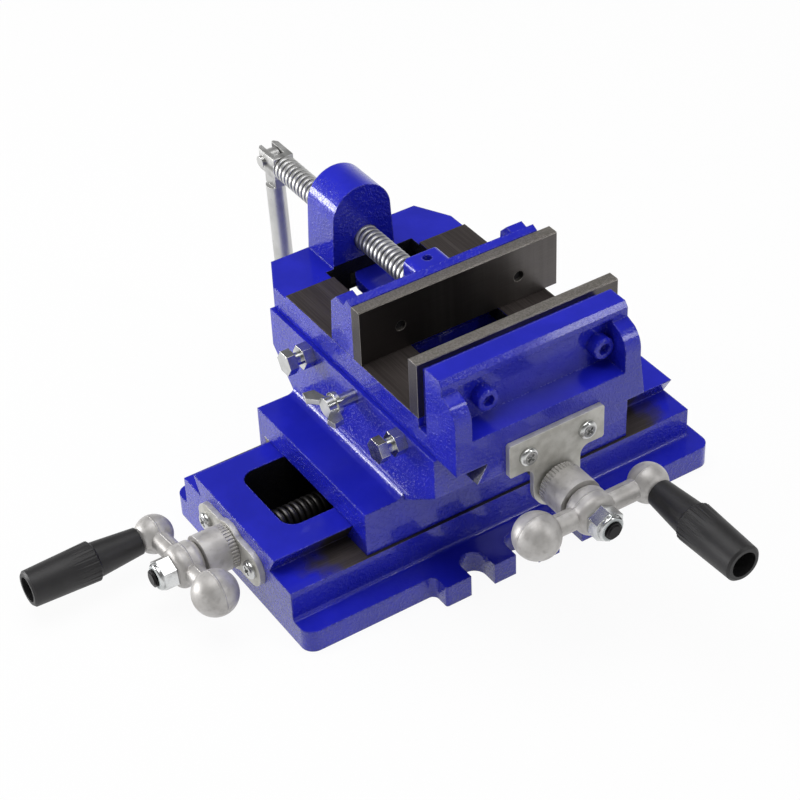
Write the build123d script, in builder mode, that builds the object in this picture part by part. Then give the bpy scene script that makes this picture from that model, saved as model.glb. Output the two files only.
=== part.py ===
from build123d import *
from math import radians, tan
import os

os.makedirs("parts", exist_ok=True)

# Compound drill press vise. Millimetres, +Z up, origin at the centre of the base's underside.
# The base's ways run along X, the saddle carries the vise along them, and the vise slides along Y.

# Running gaps
slide_gap = 0.1
ease_gap = 0.3
running_gap = 0.05
way_angle = 60.0

# Base casting
base_left = -105.5
base_right = 104.0
base_y = -2.2
flange_right = 109.0
flange_w = 114.6
flange_h = 11.0
flange_corner_r = 6.0
wall_w = 91.4
shelf_h = 26.0
x_way_y = -1.1
x_way_w = 68.8
x_way_h = 9.0
window_l = 180.0
window_w = 42.0
window_r = 7.0
trough_floor = 5.0
rib_t = 7.0
pocket_w = 6.5
pocket_h = 17.0
end_wall_t = 12.0
cast_r = 1.2
wall_foot_r = 2.0

# Clamping lugs of the base
lug_l = 84.4
lug_reach = 9.2
lug_slot_w = 12.2
lug_slot_depth = 13.1
lug_slot_pitch = 23.3
lug_slots = 3
lug_root_r = 3.0

# Saddle casting
saddle_x = 1.5
wing_l = 137.0
wing_w = 88.4
wing_top = 48.5
wing_root_r = 4.0
block_l = 129.5
block_y = -6.0
block_top = 84.5
block_face_h = 19.5
trough_w = 20.0
trough_drop = 23.0
front_wall_t = 12.0

# Gib strips and their bolts
gib_t = 4.0
gib_bolt_d = 6.0
gib_bolt_head_w = 10.0
gib_bolt_head_h = 4.2
gib_nut_h = 5.0
gib_bolt_reach = 12.8
gib_bolt_drop = 4.6
gib_bolt_spacing = 72.0
gib_bolt_y = -10.2
x_gib_bolt_inset = 23.5
x_gib_bolt_lift = 1.2

# Wing bolt
wing_reach = 10.5
wing_collar_d = 11.0
wing_collar_t = 2.0
wing_hub_d = 9.0
wing_hub_h = 4.0
wing_span = 26.0
wing_h = 8.0
wing_tip = 4.5
wing_t = 2.6
wing_turn = 0.0

# Vise body with its fixed jaw and screw lug
body_w = 94.0
block_ledge = 2.0
body_front = -84.0
body_rear = 75.0
body_h = 12.6
deck_drop = 1.5
fixed_face = -51.0
way_rear = 47.0
rear_chamfer_x = 9.0
rear_chamfer_y = 17.0
slot_w = 44.8
slot_front = -47.5
slot_rear = 53.5
lip_h = 7.4
bridge_t = 15.2
cavity_w = 56.0
y_way_w = 74.0
y_way_h = 8.8

# Fixed jaw
jaw_wall_t = 14.0
jaw_rise = 2.0
jaw_lean = 2.5
jaw_lean_h = 20.0
seat_t = 6.0
seat_inset = 3.0
seat_notch = 3.2
lip_t = 9.8
lip_round = 1.8
lip_h_front = 4.5
cheek_w = 7.8
cheek_step = 4.6
cheek_drop = 15.7
cheek_shoulder_drop = 6.6
ledge_drop = 25.0
recess_top_drop = 3.2

# Screw lug
lug_x = -1.0
lug_w = 29.6
lug_spread = 1.4
lug_t = 21.5
lug_crown_z = 118.4
screw_z = 106.0
bridge_gap_w = 22.0

# Jaw plates
plate_overhang = 6.0
plate_h = 27.0
plate_t = 6.0
fixed_hole_inset = 21.3
fixed_hole_shift = -0.4
moving_hole_inset = 20.0
plate_hole_drop = 14.7
plate_edge = 0.5
plate_hole_d = 5.0
jaw_screw_d = 4.9
jaw_screw_head_d = 10.0
jaw_screw_head_h = 6.0
jaw_screw_hex = 5.0

# Moving jaw
jaw_opening = 36.6
jaw_t = 17.4
guide_inset = 1.0
front_web_t = 8.0
foot_h = 8.0
end_cheek_w = 8.0
boss_w = 18.0
boss_h = 24.0
boss_drop = 1.6
boss_corner_r = 3.0
notch_d = 3.0
keeper_t = 5.0
keeper_w = 55.0
tongue_w = 20.0
tongue_tip = 57.0
keeper_bolt_d = 5.0
keeper_bolt_spacing = 30.0

# Clamp screw, its fork, pin and handle
clamp_x = 0.5
clamp_screw_d = 12.0
clamp_tip_d = 9.0
clamp_tip_l = 13.0
clamp_groove_w = 4.2
retaining_pin_d = 4.0
retaining_pin_l = 9.0
fork_start = 124.0
fork_l = 15.5
fork_w = 10.6
fork_h = 11.0
fork_slot_w = 5.2
fork_slot_l = 12.0
fork_edge = 2.0
fork_pin_d = 4.0
fork_pin_back = 5.0
fork_pin_head_d = 5.6
fork_pin_head_t = 1.6
handle_d = 9.2
handle_l = 80.0
handle_neck_w = 4.8
handle_neck_l = 14.0
handle_eye_d = 9.2
handle_tilt = 3.0

# Lead screws, dials and nuts
lead_d = 12.0
spindle_d = 8.0
collar_d = 17.0
collar_t = 4.0
journal_d = 10.0
x_screw_z = 20.0
x_screw_l = 172.0
y_screw_x = 2.1
y_screw_z = 61.5
y_screw_l = 135.0
dial_d = 20.4
dial_l = 14.6
y_dial_gap = 1.5
dial_ticks = 40
dial_tick_l = 3.6
dial_tick_w = 0.7
dial_tick_depth = 0.4
x_nut_l = 30.0
x_nut_w = 24.0
x_nut_drop = 11.0
y_nut_l = 26.0
y_nut_h = 21.0
y_nut_y = -6.0
nut_screw_d = 5.0

# Bracket plates
bracket_t = 2.6
x_bracket_l = 53.0
x_bracket_end_r = 8.8
x_bracket_hub_r = 11.5
bracket_screw_spacing = 38.0
y_bracket_w = 47.5
y_bracket_top = 90.4
y_bracket_head_h = 16.5
y_bracket_stem_r = 11.8
y_bracket_root_r = 4.5
y_bracket_screw_spacing = 29.6
y_bracket_screw_z = 82.0
bracket_screw_d = 4.0
bracket_screw_head_d = 8.6
bracket_screw_head_h = 2.4
bracket_screw_l = 12.0

# Cranks and grips
hub_d = 19.4
hub_t = 13.4
hub_round = 4.0
arm_d = 9.6
ball_d = 20.6
ball_reach = 26.8
boss_d = 17.6
boss_reach = 29.4
boss_seat = 7.4
x_crank_tilt = 8.0
lock_nut_w = 13.0
lock_nut_h = 6.2
lock_nut_crown_h = 1.8
spindle_tail = 1.8
stud_d = 6.0
stud_depth = 9.0
stud_head_d = 10.4
stud_head_h = 3.5
stud_slot_w = 1.4
grip_gap = 0.4
grip_l = 53.0
grip_neck_d = 12.4
grip_waist_d = 16.0
grip_d = 18.4
grip_end_d = 16.6
grip_taper_l = 21.0
grip_hole_d = 11.6
grip_hole_depth = 14.0
grip_flutes = 24
grip_flute_d = 1.5
grip_flute_end = 3.0

# Heights and places that follow from the sizes above
way_run = 1 / tan(radians(way_angle))
base_top = shelf_h + x_way_h
x_way_root_w = x_way_w - 2 * x_way_h * way_run
saddle_bottom = shelf_h + slide_gap
body_bottom = block_top + slide_gap
ways_z = body_bottom + body_h
deck_z = ways_z - deck_drop
channel_floor = body_bottom - y_way_h - ease_gap
y_way_bottom = body_bottom - y_way_h
y_way_top_w = y_way_w - 2 * y_way_h * way_run
lip_bottom = ways_z - lip_h
bridge_bottom = ways_z - bridge_t
block_w = body_w + 2 * block_ledge
wing_front = base_y - wing_w / 2
wing_rear = base_y + wing_w / 2
block_front = block_y - block_l / 2
block_rear = block_y + block_l / 2
block_left = saddle_x - block_w / 2
body_left = saddle_x - body_w / 2
plate_l = body_w + plate_overhang
plate_x = saddle_x + plate_overhang / 2
fixed_hole_spacing = plate_l - 2 * fixed_hole_inset
moving_hole_spacing = plate_l - 2 * moving_hole_inset
plate_top = ways_z + plate_h
jaw_top = plate_top + jaw_rise
keeper_top = lip_bottom - slide_gap
jaw_face = fixed_face + jaw_opening
jaw_front = jaw_face + plate_t
jaw_rear = jaw_front + jaw_t
plate_hole_z = plate_top - plate_hole_drop
trough_bottom = channel_floor - trough_drop
gib_bolt_z = block_top - gib_bolt_drop
x_gib_bolt_spacing = wing_l - 2 * x_gib_bolt_inset
x_bolt_z = shelf_h + x_way_h / 2 + x_gib_bolt_lift
lug_y = flange_w / 2 + lug_reach
pin_y = jaw_rear - clamp_tip_l / 2 + 1.7
fork_pin_y = fork_start + fork_l - fork_pin_back

# Planes whose Z points out of the casting along each lead screw
x_end = Plane(origin=(base_left, 0, x_screw_z), x_dir=(0, -1, 0), z_dir=(-1, 0, 0))
y_end = Plane(origin=(y_screw_x, body_front, y_screw_z), x_dir=(1, 0, 0), z_dir=(0, -1, 0))


def save(part, name):
    part.label = name
    export_step(part, "parts/" + name + ".step")


# Base casting
with BuildPart() as base_casting:
    with BuildSketch():
        with Locations(((base_left + flange_right) / 2, base_y)):
            RectangleRounded(flange_right - base_left, flange_w, flange_corner_r)
    extrude(amount=flange_h)
    with BuildSketch():
        with Locations((0, base_y)):
            Rectangle(lug_l, 2 * lug_y)
    extrude(amount=flange_h)
    lug_ends = base_casting.edges().filter_by(Axis.Z).filter_by(
        lambda e: abs(abs(e.center().X) - lug_l / 2) < 0.01
    )
    lug_rows = lug_ends.group_by(Axis.Y)
    fillet(lug_rows[1] + lug_rows[2], radius=lug_root_r)
    fillet(lug_rows[0] + lug_rows[3], radius=cast_r)
    with BuildSketch():
        with Locations((0, base_y)):
            with GridLocations(lug_slot_pitch, 2 * lug_y, lug_slots, 2):
                SlotOverall(2 * lug_slot_depth, lug_slot_w, rotation=90)
    extrude(amount=flange_h, mode=Mode.SUBTRACT)
    with BuildSketch(Plane.YZ.offset(base_left)):
        with BuildLine():
            Polyline(
                (base_y - wall_w / 2, 0),
                (base_y + wall_w / 2, 0),
                (base_y + wall_w / 2, shelf_h),
                (x_way_y + x_way_root_w / 2, shelf_h),
                (x_way_y + x_way_w / 2, base_top),
                (x_way_y - x_way_w / 2, base_top),
                (x_way_y - x_way_root_w / 2, shelf_h),
                (base_y - wall_w / 2, shelf_h),
                close=True,
            )
        make_face()
    extrude(amount=base_right - base_left)
    wall_foot = base_casting.edges().filter_by(Axis.X).filter_by(
        lambda e: abs(e.center().Z - flange_h) < 0.01 and abs(abs(e.center().Y - base_y) - wall_w / 2) < 0.01
    )
    fillet(wall_foot, radius=wall_foot_r)
    with BuildSketch(Plane.XY.offset(trough_floor)):
        RectangleRounded(window_l, window_w, window_r)
    extrude(amount=base_top - trough_floor, mode=Mode.SUBTRACT)
    pocket_run = -base_left - end_wall_t
    with BuildSketch():
        with GridLocations(pocket_run, window_w + 2 * rib_t + pocket_w, 2, 2):
            RectangleRounded(pocket_run - rib_t, pocket_w, pocket_w / 3)
    extrude(amount=pocket_h, mode=Mode.SUBTRACT)
    with BuildSketch(x_end):
        Circle(collar_d / 2 + ease_gap)
    extrude(amount=-(collar_t + 2 * slide_gap), mode=Mode.SUBTRACT)
    with BuildSketch(x_end):
        Circle(lead_d / 2 + ease_gap)
    extrude(amount=base_left + window_l / 2, mode=Mode.SUBTRACT)
    with BuildSketch(x_end):
        with GridLocations(bracket_screw_spacing, 0, 2, 1):
            Circle(bracket_screw_d / 2 + running_gap)
    extrude(amount=-bracket_screw_l, mode=Mode.SUBTRACT)
save(base_casting.part, "base_casting")


# Saddle casting
with BuildPart() as saddle_casting:
    with BuildSketch(Plane.XY.offset(saddle_bottom)):
        with Locations((saddle_x, base_y)):
            Rectangle(wing_l, wing_w)
    extrude(amount=wing_top - saddle_bottom)
    with BuildSketch(Plane.YZ.offset(block_left)):
        with BuildLine():
            Polyline(
                (block_front, block_top),
                (block_front, block_top - block_face_h),
                (wing_front, wing_top - 1),
                (wing_front, wing_top - wing_root_r),
                (wing_rear, wing_top - wing_root_r),
                (wing_rear, wing_top - 1),
                (block_rear, block_top - block_face_h),
                (block_rear, block_top),
                close=True,
            )
        make_face()
    extrude(amount=block_w)
    roots = saddle_casting.edges().filter_by(Axis.Y).filter_by(
        lambda e: abs(e.center().Z - wing_top) < 0.01 and abs(abs(e.center().X - saddle_x) - block_w / 2) < 0.01
    )
    fillet(roots, radius=wing_root_r)
    # groove for the base's way, wider at the rear by the gib strip
    groove_top = base_top + ease_gap
    front_root = x_way_y - x_way_root_w / 2 - 2 * slide_gap
    rear_root = x_way_y + x_way_root_w / 2 + 2 * slide_gap + gib_t
    groove_h = groove_top - shelf_h
    with BuildSketch(Plane.YZ.offset(saddle_x - wing_l / 2)):
        with BuildLine():
            Polyline(
                (front_root, shelf_h),
                (rear_root, shelf_h),
                (rear_root + groove_h * way_run, groove_top),
                (front_root - groove_h * way_run, groove_top),
                close=True,
            )
        make_face()
    extrude(amount=wing_l, mode=Mode.SUBTRACT)
    # channel for the vise body's way, wider on the left by the gib strip
    channel_h = block_top - channel_floor
    right_top = saddle_x + y_way_top_w / 2 + 2 * slide_gap
    left_top = saddle_x - y_way_top_w / 2 - 2 * slide_gap - gib_t
    with BuildSketch(Plane.XZ.offset(-block_rear)):
        with BuildLine():
            Polyline(
                (left_top, block_top),
                (right_top, block_top),
                (right_top + channel_h * way_run, channel_floor),
                (left_top - channel_h * way_run, channel_floor),
                close=True,
            )
        make_face()
    extrude(amount=block_l, mode=Mode.SUBTRACT)
    # trough for the cross feed screw, open to the rear
    trough_l = block_l - front_wall_t
    with BuildSketch(Plane.XY.offset(trough_bottom)):
        with Locations((y_screw_x, block_rear - trough_l / 2)):
            Rectangle(trough_w, trough_l)
    extrude(amount=channel_floor - trough_bottom, mode=Mode.SUBTRACT)
    with BuildSketch(y_end.offset(-(block_front - body_front))):
        Circle(lead_d / 2 + 2 * ease_gap)
    extrude(amount=-front_wall_t, mode=Mode.SUBTRACT)
    # threaded holes of the gib bolts and the wing bolt, on the left and at the rear
    with BuildSketch(Plane.YZ.offset(block_left)):
        with Locations((gib_bolt_y, gib_bolt_z)):
            with GridLocations(gib_bolt_spacing / 2, 0, 3, 1):
                Circle(gib_bolt_d / 2 + running_gap)
    extrude(amount=block_w / 2 - y_way_top_w / 2, mode=Mode.SUBTRACT)
    with BuildSketch(Plane.XZ.offset(-wing_rear)):
        with Locations((saddle_x, x_bolt_z)):
            with GridLocations(x_gib_bolt_spacing, 0, 2, 1):
                Circle(gib_bolt_d / 2 + running_gap)
    extrude(amount=wing_rear - x_way_y - x_way_root_w / 2, mode=Mode.SUBTRACT)
    # screw holes of the two feed nuts
    with BuildSketch(Plane.XY.offset(trough_bottom)):
        with Locations((y_screw_x, y_nut_y)):
            Circle(nut_screw_d / 2 + running_gap)
    extrude(amount=groove_top - trough_bottom, mode=Mode.SUBTRACT)
save(saddle_casting.part, "saddle_casting")


# Vise body with the fixed jaw and the screw lug
with BuildPart() as vise_body:
    with BuildSketch(Plane.XY.offset(body_bottom)):
        with BuildLine():
            Polyline(
                (saddle_x, body_front),
                (saddle_x + body_w / 2, body_front),
                (saddle_x + body_w / 2, body_rear - rear_chamfer_y),
                (saddle_x + body_w / 2 - rear_chamfer_x, body_rear),
                (saddle_x, body_rear),
                close=True,
            )
        make_face()
        mirror(about=Plane.YZ.offset(saddle_x))
    extrude(amount=body_h)
    with BuildSketch(Plane.XY.offset(deck_z)):
        with Locations((saddle_x, (way_rear + body_rear) / 2)):
            Rectangle(body_w, body_rear - way_rear)
    extrude(amount=deck_drop, mode=Mode.SUBTRACT)
    # way that slides in the saddle
    with BuildSketch(Plane.XZ.offset(-body_rear)):
        with BuildLine():
            Polyline(
                (saddle_x, body_bottom),
                (saddle_x + y_way_top_w / 2, body_bottom),
                (saddle_x + y_way_w / 2, y_way_bottom),
                (saddle_x, y_way_bottom),
                close=True,
            )
        make_face()
        mirror(about=Plane.YZ.offset(saddle_x))
    extrude(amount=body_rear - body_front)
    # fixed jaw: a lip along its top, rounded cheeks at both ends and a recess between them
    wall_face = fixed_face - plate_t
    wall_rear = wall_face - seat_t
    lip_front = wall_rear - lip_t
    shoulder = (lip_front - lip_round - cheek_step, plate_top - cheek_shoulder_drop)
    cheek_foot = (body_front, plate_top - cheek_drop)
    with BuildSketch(Plane.YZ.offset(body_left)):
        with BuildLine():
            Polyline(
                shoulder,
                (lip_front - lip_round, shoulder[1] + lip_round),
                (lip_front - lip_round, jaw_top - lip_h_front / 2),
                (lip_front, jaw_top),
                (wall_rear, jaw_top),
                (wall_rear, deck_z),
                (body_front, deck_z),
                cheek_foot,
            )
            TangentArc(cheek_foot, shoulder, tangent=(0, 1))
        make_face()
    extrude(amount=body_w)
    recess_w = body_w - jaw_lean - 2 * cheek_w
    recess_t = wall_face - jaw_wall_t - body_front
    with BuildSketch(Plane.XY.offset(plate_top - ledge_drop)):
        with Locations((saddle_x - jaw_lean / 2, body_front + recess_t / 2)):
            Rectangle(recess_w, recess_t)
    extrude(amount=ledge_drop - recess_top_drop, mode=Mode.SUBTRACT)
    with BuildSketch(Plane.XZ.offset(-wall_face)):
        with BuildLine():
            Polyline(
                (body_left + body_w, body_bottom),
                (body_left + body_w, jaw_top),
                (body_left + body_w - jaw_lean, jaw_top),
                (body_left + body_w - jaw_lean, body_bottom + jaw_lean_h),
                close=True,
            )
        make_face()
    extrude(amount=wall_face - body_front, mode=Mode.SUBTRACT)
    # machined seat that holds the jaw plate clear of the casting, and the notch at its left end
    with BuildSketch(Plane.XY.offset(deck_z - seat_notch)):
        with Locations((body_left + seat_inset / 2, wall_face - seat_t / 2)):
            Rectangle(seat_inset, seat_t)
    extrude(amount=seat_notch + deck_drop, mode=Mode.SUBTRACT)
    with BuildSketch(Plane.XZ.offset(-wall_face)):
        with Locations((saddle_x - jaw_lean / 2, (deck_z + plate_top - seat_inset) / 2)):
            Rectangle(body_w - jaw_lean - 2 * seat_inset, plate_top - seat_inset - deck_z)
    extrude(amount=seat_t)
    # lug that carries the clamp screw
    with BuildSketch(Plane.XZ.offset(-body_rear)):
        with Locations((lug_x, lug_crown_z)):
            Circle(lug_w / 2)
        with BuildLine():
            Polyline(
                (lug_x - lug_w / 2, lug_crown_z),
                (lug_x - lug_w / 2 - lug_spread, ways_z - lip_h),
                (lug_x + lug_w / 2 + lug_spread, ways_z - lip_h),
                (lug_x + lug_w / 2, lug_crown_z),
                close=True,
            )
        make_face()
    extrude(amount=lug_t)
    # slot between the ways, the space for the keeper under it, and the gap and tunnel of its tongue
    with BuildSketch(Plane.XY.offset(y_way_bottom)):
        with Locations((saddle_x, (slot_front + slot_rear) / 2)):
            Rectangle(slot_w, slot_rear - slot_front)
    extrude(amount=ways_z - y_way_bottom, mode=Mode.SUBTRACT)
    with BuildSketch(Plane.XY.offset(y_way_bottom)):
        with Locations((saddle_x, (slot_front + slot_rear) / 2)):
            Rectangle(cavity_w, slot_rear - slot_front)
    extrude(amount=lip_bottom - y_way_bottom, mode=Mode.SUBTRACT)
    with BuildSketch(Plane.XY.offset(y_way_bottom)):
        with Locations((saddle_x, (slot_rear + body_rear) / 2)):
            Rectangle(bridge_gap_w, body_rear - slot_rear)
    extrude(amount=bridge_bottom - y_way_bottom, mode=Mode.SUBTRACT)
    with BuildSketch(Plane.XY.offset(keeper_top + ease_gap)):
        with Locations((saddle_x, (slot_rear + body_rear) / 2)):
            Rectangle(tongue_w + 2 * ease_gap, body_rear - slot_rear)
    extrude(amount=-(keeper_t + 2 * ease_gap), mode=Mode.SUBTRACT)
    # clamp screw's thread, jaw screw holes and bracket screw holes
    with BuildSketch(Plane.XZ.offset(-body_rear)):
        with Locations((clamp_x, screw_z)):
            Circle(clamp_screw_d / 2 + running_gap)
    extrude(amount=lug_t, mode=Mode.SUBTRACT)
    with BuildSketch(Plane.XZ.offset(-wall_face)):
        with Locations((plate_x + fixed_hole_shift, plate_hole_z)):
            with GridLocations(fixed_hole_spacing, 0, 2, 1):
                Circle(jaw_screw_d / 2 + running_gap)
    extrude(amount=jaw_wall_t, mode=Mode.SUBTRACT)
    with BuildSketch(y_end):
        with Locations((0, y_bracket_screw_z - y_screw_z)):
            with GridLocations(y_bracket_screw_spacing, 0, 2, 1):
                Circle(bracket_screw_d / 2 + running_gap)
    extrude(amount=-bracket_screw_l, mode=Mode.SUBTRACT)
save(vise_body.part, "vise_body")

# Moving jaw
with BuildPart() as moving_jaw:
    with BuildSketch(Plane.YZ.offset(body_left)):
        with BuildLine():
            Polyline(
                (jaw_front, ways_z + slide_gap),
                (jaw_front, plate_top),
                (jaw_front + notch_d, plate_top + notch_d / 2),
                (jaw_front + 2 * notch_d, plate_top - notch_d),
                (jaw_rear - 2 * notch_d, plate_top - notch_d / 2),
                (jaw_rear - notch_d / 2, plate_top - 2 * notch_d),
                (jaw_rear, ways_z + slide_gap),
                close=True,
            )
        make_face()
    extrude(amount=body_w)
    # hollows between the cheeks and the boss
    with BuildSketch(Plane.XY.offset(ways_z + foot_h)):
        with Locations((saddle_x, jaw_front + front_web_t + jaw_t / 2)):
            Rectangle(body_w - 2 * end_cheek_w, jaw_t)
    extrude(amount=plate_h, mode=Mode.SUBTRACT)
    with BuildSketch(Plane.XZ.offset(-jaw_rear)):
        with Locations((clamp_x, plate_top - boss_drop - boss_h / 2)):
            RectangleRounded(boss_w, boss_h, boss_corner_r)
    extrude(amount=jaw_t - front_web_t / 2)
    # guide that fits the slot, down to the keeper
    with BuildSketch(Plane.XY.offset(lip_bottom - slide_gap)):
        with Locations((saddle_x, (jaw_front + jaw_rear) / 2)):
            Rectangle(slot_w - 2 * slide_gap, jaw_t - 2 * guide_inset)
    extrude(amount=lip_h + 3 * slide_gap)
    with BuildSketch(Plane.XZ.offset(-jaw_rear)):
        with Locations((clamp_x, screw_z)):
            Circle(clamp_tip_d / 2 + running_gap)
    extrude(amount=clamp_tip_l + ease_gap, mode=Mode.SUBTRACT)
    with BuildSketch(Plane.XY.offset(screw_z)):
        with Locations((clamp_x, pin_y)):
            Circle(retaining_pin_d / 2 + running_gap)
    extrude(amount=plate_h, mode=Mode.SUBTRACT)
    with BuildSketch(Plane.XZ.offset(-jaw_front)):
        with Locations((plate_x, plate_hole_z)):
            with GridLocations(moving_hole_spacing, 0, 2, 1):
                Circle(jaw_screw_d / 2 + running_gap)
    extrude(amount=-front_web_t, mode=Mode.SUBTRACT)
    with BuildSketch(Plane.XZ.offset(-jaw_front - front_web_t)):
        with Locations((plate_x, plate_hole_z)):
            with GridLocations(moving_hole_spacing, 0, 2, 1):
                Circle(jaw_screw_head_d / 2 + ease_gap)
    extrude(amount=-jaw_t, mode=Mode.SUBTRACT)
    with BuildSketch(Plane.XY.offset(lip_bottom - slide_gap)):
        with Locations((saddle_x, (jaw_front + jaw_rear) / 2)):
            with GridLocations(keeper_bolt_spacing, 0, 2, 1):
                Circle(keeper_bolt_d / 2 + running_gap)
    extrude(amount=2 * foot_h, mode=Mode.SUBTRACT)
save(moving_jaw.part, "moving_jaw")

# Keeper plate under the ways with its tongue
with BuildPart() as jaw_keeper:
    with BuildSketch(Plane.XY.offset(keeper_top - keeper_t)):
        with Locations((saddle_x, (jaw_front + jaw_rear) / 2)):
            Rectangle(keeper_w, jaw_t - 2 * guide_inset)
        with Locations((saddle_x, (jaw_front + tongue_tip) / 2)):
            SlotOverall(tongue_tip - jaw_front, tongue_w, rotation=90)
        with Locations((saddle_x, (jaw_front + jaw_rear) / 2)):
            with GridLocations(keeper_bolt_spacing, 0, 2, 1):
                Circle(keeper_bolt_d / 2 + running_gap, mode=Mode.SUBTRACT)
    extrude(amount=keeper_t)
save(jaw_keeper.part, "jaw_keeper")

# Keeper bolts
with BuildPart() as keeper_bolts:
    with BuildSketch(Plane.XY.offset(keeper_top - keeper_t)):
        with Locations((saddle_x, (jaw_front + jaw_rear) / 2)):
            with GridLocations(keeper_bolt_spacing, 0, 2, 1):
                Circle(keeper_bolt_d / 2)
    extrude(amount=keeper_t + 1.5 * foot_h)
    with BuildSketch(Plane.XY.offset(keeper_top - keeper_t)):
        with Locations((saddle_x, (jaw_front + jaw_rear) / 2)):
            with GridLocations(keeper_bolt_spacing, 0, 2, 1):
                Circle(keeper_bolt_d * 0.85)
                RegularPolygon(keeper_bolt_d * 0.45, 6, mode=Mode.SUBTRACT)
    extrude(amount=-keeper_bolt_d)
save(keeper_bolts.part, "keeper_bolts")

# Jaw plates
plate_z = ways_z + 2 * slide_gap
for name, plate_face, shift, spacing in (
    ("fixed_jaw_plate", wall_face, fixed_hole_shift, fixed_hole_spacing),
    ("moving_jaw_plate", jaw_face, 0, moving_hole_spacing),
):
    with BuildPart() as jaw_plate:
        with BuildSketch(Plane.XZ):
            with Locations((0, (plate_h - 2 * slide_gap) / 2)):
                Rectangle(plate_l, plate_h - 2 * slide_gap)
            with Locations((shift, plate_h - 2 * slide_gap - plate_hole_drop)):
                with GridLocations(spacing, 0, 2, 1):
                    Circle(plate_hole_d / 2, mode=Mode.SUBTRACT)
        extrude(amount=-plate_t)
        chamfer(jaw_plate.edges().filter_by(Axis.X).group_by(Axis.Z)[-1], length=plate_edge)
    save(Location((plate_x, plate_face, plate_z)) * jaw_plate.part, name)

# Jaw screws: each head sits on its casting and the shank runs through the casting into the plate
fixed_seat = Plane(
    origin=(plate_x + fixed_hole_shift, wall_face - jaw_wall_t, plate_hole_z),
    x_dir=(1, 0, 0),
    z_dir=(0, -1, 0),
)
moving_seat = Plane(
    origin=(plate_x, jaw_front + front_web_t, plate_hole_z), x_dir=(-1, 0, 0), z_dir=(0, 1, 0)
)
for name, seat, web_t, spacing in (
    ("fixed_jaw_screws", fixed_seat, jaw_wall_t, fixed_hole_spacing),
    ("moving_jaw_screws", moving_seat, front_web_t, moving_hole_spacing),
):
    with BuildPart() as jaw_screws:
        with BuildSketch(seat):
            with GridLocations(spacing, 0, 2, 1):
                Circle(jaw_screw_head_d / 2)
        extrude(amount=jaw_screw_head_h)
        with BuildSketch(seat):
            with GridLocations(spacing, 0, 2, 1):
                Circle(jaw_screw_d / 2)
        extrude(amount=-(web_t + plate_t * 0.7))
        head_edges = jaw_screws.edges().filter_by(GeomType.CIRCLE)
        chamfer(head_edges.group_by(Axis(seat.origin, seat.z_dir))[-1], length=0.6)
        with BuildSketch(seat.offset(jaw_screw_head_h)):
            with GridLocations(spacing, 0, 2, 1):
                RegularPolygon(jaw_screw_hex / 2, 6, major_radius=False)
        extrude(amount=-jaw_screw_head_h / 2, mode=Mode.SUBTRACT)
    save(jaw_screws.part, name)

# Set screw that keeps the clamp screw in the moving jaw
groove_r = clamp_tip_d / 2 - 1.5
with BuildPart() as screw_retainer:
    with BuildSketch(Plane.XY.offset(screw_z + groove_r + ease_gap)):
        with Locations((clamp_x, pin_y)):
            Circle(retaining_pin_d / 2)
    extrude(amount=retaining_pin_l)
    with BuildSketch(screw_retainer.faces().sort_by(Axis.Z)[-1]):
        RegularPolygon(retaining_pin_d / 4, 6)
    extrude(amount=-retaining_pin_l / 4, mode=Mode.SUBTRACT)
save(screw_retainer.part, "screw_retainer")

# Clamp screw with its fork
clamp_end = Plane(origin=(clamp_x, jaw_rear, screw_z), x_dir=(1, 0, 0), z_dir=(0, 1, 0))
groove_mid = pin_y - jaw_rear
with BuildPart() as clamp_screw:
    with BuildSketch(Plane.XZ):
        with BuildLine():
            Polyline(
                (0, -clamp_tip_l),
                (clamp_tip_d / 2, -clamp_tip_l),
                (clamp_tip_d / 2, groove_mid - clamp_groove_w / 2),
                (groove_r, groove_mid - clamp_groove_w / 2),
                (groove_r, groove_mid + clamp_groove_w / 2),
                (clamp_tip_d / 2, groove_mid + clamp_groove_w / 2),
                (clamp_tip_d / 2, slide_gap),
                (clamp_screw_d / 2, slide_gap),
                (clamp_screw_d / 2, fork_start - jaw_rear),
                (0, fork_start - jaw_rear),
                close=True,
            )
        make_face()
    revolve(axis=Axis.Z)
    with BuildSketch(Plane.XY.offset(fork_start - jaw_rear)):
        Rectangle(fork_w, fork_h)
    extrude(amount=fork_l)
    chamfer(clamp_screw.edges().group_by(Axis.Z)[-1].filter_by(Axis.X), length=fork_edge)
    with BuildSketch(Plane.XY.offset(fork_start - jaw_rear + fork_l - fork_slot_l)):
        Rectangle(fork_slot_w, 2 * fork_h)
    extrude(amount=fork_slot_l, mode=Mode.SUBTRACT)
    with BuildSketch(Plane.YZ.offset(-fork_w / 2)):
        with Locations((0, fork_pin_y - jaw_rear)):
            Circle(fork_pin_d / 2 + running_gap)
    extrude(amount=fork_w, mode=Mode.SUBTRACT)
save(clamp_end.location * clamp_screw.part, "clamp_screw")

# Pin through the fork, turned over at both ends
with BuildPart() as handle_pin:
    with BuildSketch(Plane.YZ.offset(clamp_x - fork_w / 2)):
        with Locations((fork_pin_y, screw_z)):
            Circle(fork_pin_d / 2)
    extrude(amount=fork_w)
    with BuildSketch(Plane.YZ.offset(clamp_x + fork_w / 2)):
        with Locations((fork_pin_y, screw_z)):
            Circle(fork_pin_head_d / 2)
    extrude(amount=fork_pin_head_t)
    with BuildSketch(Plane.YZ.offset(clamp_x - fork_w / 2)):
        with Locations((fork_pin_y, screw_z)):
            Circle(fork_pin_head_d / 2)
    extrude(amount=-fork_pin_head_t)
save(handle_pin.part, "handle_pin")

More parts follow.
